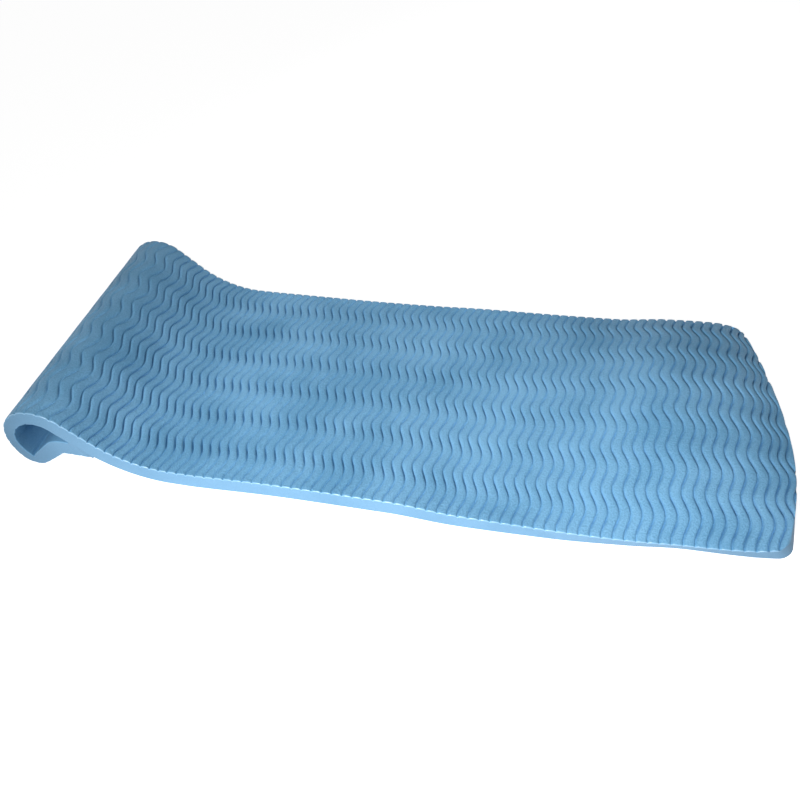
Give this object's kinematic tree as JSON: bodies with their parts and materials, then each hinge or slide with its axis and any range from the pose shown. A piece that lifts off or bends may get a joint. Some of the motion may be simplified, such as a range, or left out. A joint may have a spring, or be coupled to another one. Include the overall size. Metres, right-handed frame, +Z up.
{
  "type": "pool float",
  "caption": "Flat foam pool float with a wavy ribbed face and a head end rolled under into a hollow pillow.",
  "frame": {"origin": "middle of the outer box at its base, on the floor that the float lies on", "axes": "+X along the float towards the foot end, +Y across it, +Z up"},
  "size_m": [1.7472, 0.6548, 0.1934],
  "materials": {
    "foam_plain": "satin vinyl foam",
    "foam_ribbed": "finely grained satin vinyl foam",
    "bond": "dull contact glue"
  },
  "bodies": {
    "root": {"foam_core": "foam_plain", "ribbed_face_lying": "foam_ribbed", "ribbed_face_rolled": "foam_ribbed", "tail_bond": "bond"}
  },
  "joints": []
}
